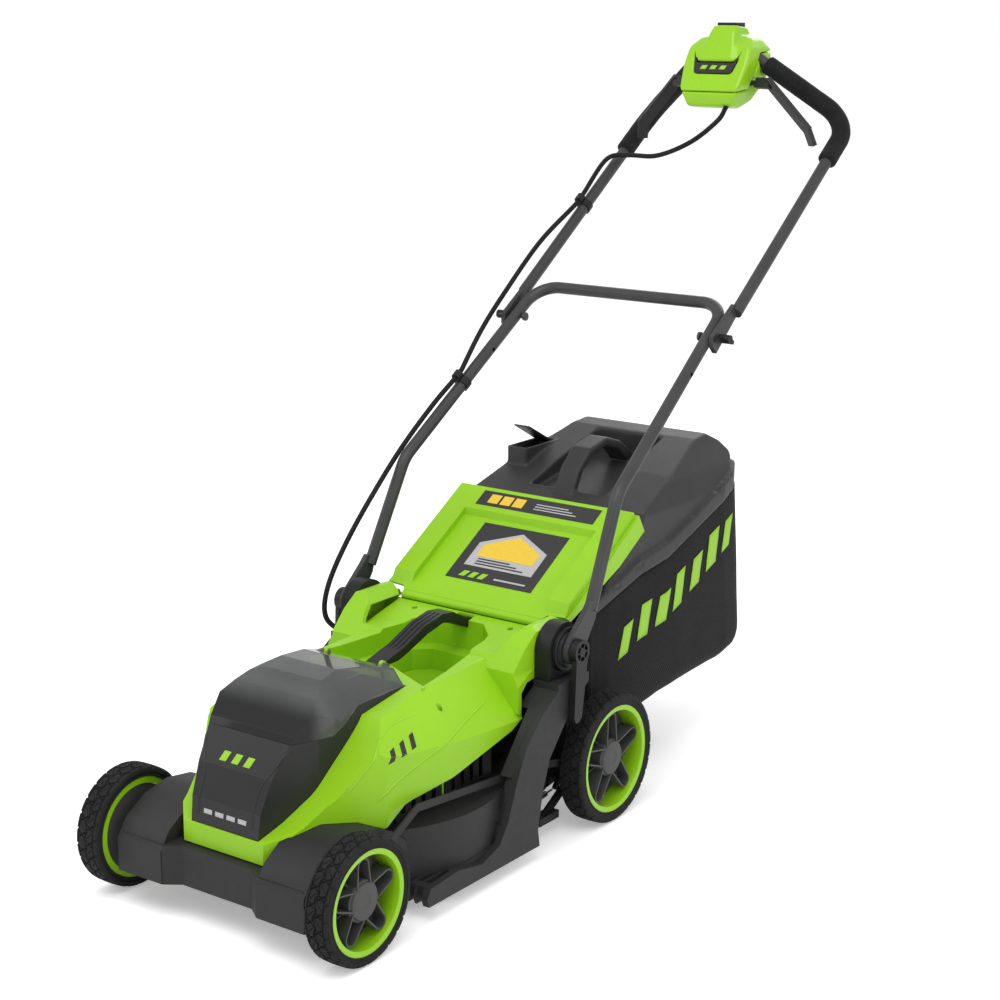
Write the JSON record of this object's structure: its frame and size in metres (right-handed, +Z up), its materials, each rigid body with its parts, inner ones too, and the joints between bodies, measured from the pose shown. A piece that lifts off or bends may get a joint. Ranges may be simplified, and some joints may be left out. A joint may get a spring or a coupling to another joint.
{
  "type": "push lawn mower",
  "caption": "Battery-electric push lawn mower with height-adjustable wheels, rear grass bag and two-stage folding handle with a spring-return bail",
  "frame": {"origin": "on the ground, under the middle of the mower's box", "axes": "+X across to the side with the height lever, -Y the front of the mower, +Y the handle end, +Z up"},
  "size_m": [0.422, 1.314, 1.087],
  "materials": {
    "deck_plastic": "fine-textured charcoal polypropylene",
    "green_plastic": "lime green moulded plastic, satin gloss",
    "green_gloss": "lime green moulded plastic, glossier",
    "black_plastic": "black moulded plastic",
    "badge": "dark inlay panel",
    "label": null,
    "zinc": "zinc plated steel",
    "blade_steel": "hardened steel blade",
    "axle_steel": "black painted steel rod",
    "motor_metal": "cast motor housing",
    "tyre": "moulded block-tread tyre",
    "hub_plastic": "dark grey moulded wheel centre",
    "tube_paint": "dark grey satin powder coat",
    "foam": "closed-cell foam sleeve",
    "cable_rubber": "black cable sheath",
    "smoke_lid": "smoked clear polycarbonate",
    "bag_cloth": "black ribbed woven fabric"
  },
  "bodies": {
    "deck": {"deck_shell": "deck_plastic", "side_frame_r": "deck_plastic", "side_frame_l": "deck_plastic", "top_cover": "green_plastic", "vent_panel": "black_plastic", "hood": "black_plastic", "carry_handle": "black_plastic", "pivot_boss_r": "black_plastic", "pivot_boss_l": "black_plastic", "motor": "motor_metal", "battery_bay": "black_plastic", "battery": "black_plastic", "cover_screws": "zinc", "flap_pin": "zinc", "pivot_bolts": "zinc", "lift_spring": "zinc"},
    "cutter": {"blade": "blade_steel", "blade_hub": "black_plastic", "blade_bolt": "zinc"},
    "front_crank": {"front_axle_rod": "axle_steel"},
    "rear_crank": {"rear_axle_rod": "axle_steel", "height_lever": "deck_plastic"},
    "link": {"link_rod": "deck_plastic"},
    "wheel_fr": {"tyre_fr": "tyre", "rim_fr": "green_gloss", "hub_fr": "hub_plastic"},
    "wheel_fl": {"tyre_fl": "tyre", "rim_fl": "green_gloss", "hub_fl": "hub_plastic"},
    "wheel_rr": {"tyre_rr": "tyre", "rim_rr": "green_gloss", "hub_rr": "hub_plastic"},
    "wheel_rl": {"tyre_rl": "tyre", "rim_rl": "green_gloss", "hub_rl": "hub_plastic"},
    "lower_handle": {"lower_tube": "tube_paint", "handle_hubs": "black_plastic", "fold_bolts": "zinc", "cable_clip_low": "black_plastic", "cable_lower": "cable_rubber"},
    "cam_right": {"cam_lever_r": "deck_plastic"},
    "cam_left": {"cam_lever_l": "deck_plastic"},
    "upper_handle": {"upper_tube": "tube_paint", "grip_r": "foam", "grip_l": "foam", "console_top": "green_gloss", "console_base": "green_gloss", "console_badge": "badge", "cable_clip_high": "black_plastic", "cable_upper": "cable_rubber"},
    "knob_right": {"knob_r": "black_plastic"},
    "knob_left": {"knob_l": "black_plastic"},
    "bail_lever": {"bail": "deck_plastic"},
    "button": {"lock_button": "deck_plastic"},
    "lid": {"battery_lid": "smoke_lid"},
    "flap": {"rear_flap": "green_plastic", "flap_label": "label"},
    "bag": {"bag_frame": "deck_plastic", "bag_fabric": "bag_cloth"},
    "indicator": {"bag_flap": "black_plastic"}
  },
  "joints": [
    {"name": "blade_spin", "type": "hinge", "parent": "deck", "child": "cutter", "pos_m": [0, -0.336, 0.06], "axis": [0, 0, -1], "continuous": true},
    {"name": "height_adjust", "type": "hinge", "parent": "deck", "child": "rear_crank", "pos_m": [0, -0.071, 0.0685], "axis": [-1, 0, 0], "range_deg": [0, 75]},
    {"name": "front_height", "type": "hinge", "parent": "deck", "child": "front_crank", "pos_m": [0, -0.6116, 0.056], "axis": [-1, 0, 0], "range_deg": [0, 75]},
    {"name": "link_swing", "type": "hinge", "parent": "rear_crank", "child": "link", "pos_m": [0.169, -0.0878, 0.0902], "axis": [-1, 0, 0], "range_deg": [-75, 0]},
    {"name": "wheel_fr_spin", "type": "hinge", "parent": "front_crank", "child": "wheel_fr", "pos_m": [0.19, -0.5806, 0.08], "axis": [1, 0, 0], "continuous": true},
    {"name": "wheel_fl_spin", "type": "hinge", "parent": "front_crank", "child": "wheel_fl", "pos_m": [-0.19, -0.5806, 0.08], "axis": [1, 0, 0], "continuous": true},
    {"name": "wheel_rr_spin", "type": "hinge", "parent": "rear_crank", "child": "wheel_rr", "pos_m": [0.19, -0.04, 0.0925], "axis": [1, 0, 0], "continuous": true},
    {"name": "wheel_rl_spin", "type": "hinge", "parent": "rear_crank", "child": "wheel_rl", "pos_m": [-0.19, -0.04, 0.0925], "axis": [1, 0, 0], "continuous": true},
    {"name": "handle_fold", "type": "hinge", "parent": "deck", "child": "lower_handle", "pos_m": [0, -0.132, 0.273], "axis": [1, 0, 0], "range_deg": [0, 115], "deforming": ["cable_lower"]},
    {"name": "cam_right_turn", "type": "hinge", "parent": "lower_handle", "child": "cam_right", "pos_m": [0.205, -0.132, 0.273], "axis": [-1, 0, 0], "range_deg": [0, 110]},
    {"name": "cam_left_turn", "type": "hinge", "parent": "lower_handle", "child": "cam_left", "pos_m": [-0.205, -0.132, 0.273], "axis": [-1, 0, 0], "range_deg": [0, 110]},
    {"name": "upper_fold", "type": "hinge", "parent": "lower_handle", "child": "upper_handle", "pos_m": [0, 0.25, 0.645], "axis": [-1, 0, 0], "range_deg": [0, 90], "deforming": ["cable_upper"]},
    {"name": "knob_right_turn", "type": "hinge", "parent": "lower_handle", "child": "knob_right", "pos_m": [0.196, 0.25, 0.645], "axis": [1, 0, 0], "continuous": true},
    {"name": "knob_left_turn", "type": "hinge", "parent": "lower_handle", "child": "knob_left", "pos_m": [-0.196, 0.25, 0.645], "axis": [1, 0, 0], "continuous": true},
    {"name": "bail_pull", "type": "hinge", "parent": "upper_handle", "child": "bail_lever", "pos_m": [0, 0.57, 0.995], "axis": [1, 0, 0], "range_deg": [0, 31], "stiffness_Nm_per_rad": 1.2, "springref_deg": -20.05},
    {"name": "button_press", "type": "slide", "parent": "upper_handle", "child": "button", "axis": [0, 0, -1], "range_m": [0, 0.0035], "stiffness_N_per_m": 400, "springref_m": -0.004},
    {"name": "lid_open", "type": "hinge", "parent": "deck", "child": "lid", "pos_m": [0, -0.354, 0.283], "axis": [-1, 0, 0], "range_deg": [0, 95]},
    {"name": "flap_lift", "type": "hinge", "parent": "deck", "child": "flap", "pos_m": [0, -0.1, 0.288], "axis": [1, 0, 0], "range_deg": [0, 45], "stiffness_Nm_per_rad": 0.5, "springref_deg": -34.38},
    {"name": "bag_off", "type": "slide", "parent": "deck", "child": "bag", "axis": [0, 0.8581, 0.5135], "range_m": [0, 0.4]},
    {"name": "indicator_drop", "type": "hinge", "parent": "bag", "child": "indicator", "pos_m": [-0.12, 0.256, 0.453], "axis": [1, 0, 0], "range_deg": [0, 25]}
  ],
  "couplings": [
    {"joint": "front_height", "follows": "height_adjust", "ratio": 1},
    {"joint": "link_swing", "follows": "height_adjust", "ratio": -1}
  ]
}
